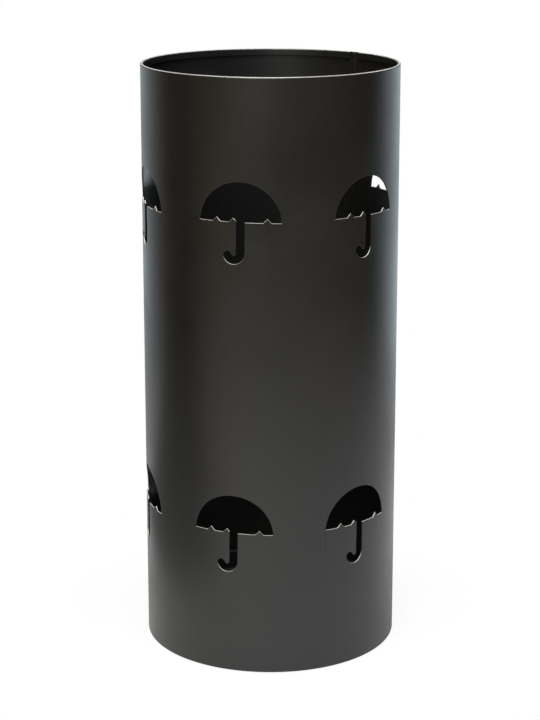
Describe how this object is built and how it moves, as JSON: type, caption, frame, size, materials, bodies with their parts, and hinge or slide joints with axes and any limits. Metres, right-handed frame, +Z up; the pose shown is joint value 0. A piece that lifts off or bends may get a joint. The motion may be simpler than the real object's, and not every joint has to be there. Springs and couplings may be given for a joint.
{
  "type": "umbrella stand",
  "caption": "Round open-topped umbrella stand of rolled sheet steel with umbrella-shaped cut-outs, a hemmed rim, a lift-out drip tray and rubber feet.",
  "frame": {"origin": "centre of the footprint, on the floor under the feet", "axes": "+Z up along the tube; -Y towards the front, where a column of the upper ring of cut-outs stands"},
  "size_m": [0.215, 0.215, 0.496],
  "materials": {
    "powder_coat": "fine-textured satin powder coat, dark anthracite",
    "tray_plastic": "moulded black polypropylene, finely grained",
    "foot_rubber": "matt black rubber"
  },
  "bodies": {
    "stand": {"body_shell": "powder_coat", "seam_weld": "powder_coat", "base_plate": "powder_coat", "base_welds": "powder_coat", "foot_front_right": "foot_rubber", "foot_back_right": "foot_rubber", "foot_back_left": "foot_rubber", "foot_front_left": "foot_rubber"},
    "tray": {"drip_tray": "tray_plastic"}
  },
  "joints": [
    {"name": "tray_lift", "type": "slide", "parent": "stand", "child": "tray", "axis": [0, 0, 1], "range_m": [0, 0.51]}
  ]
}
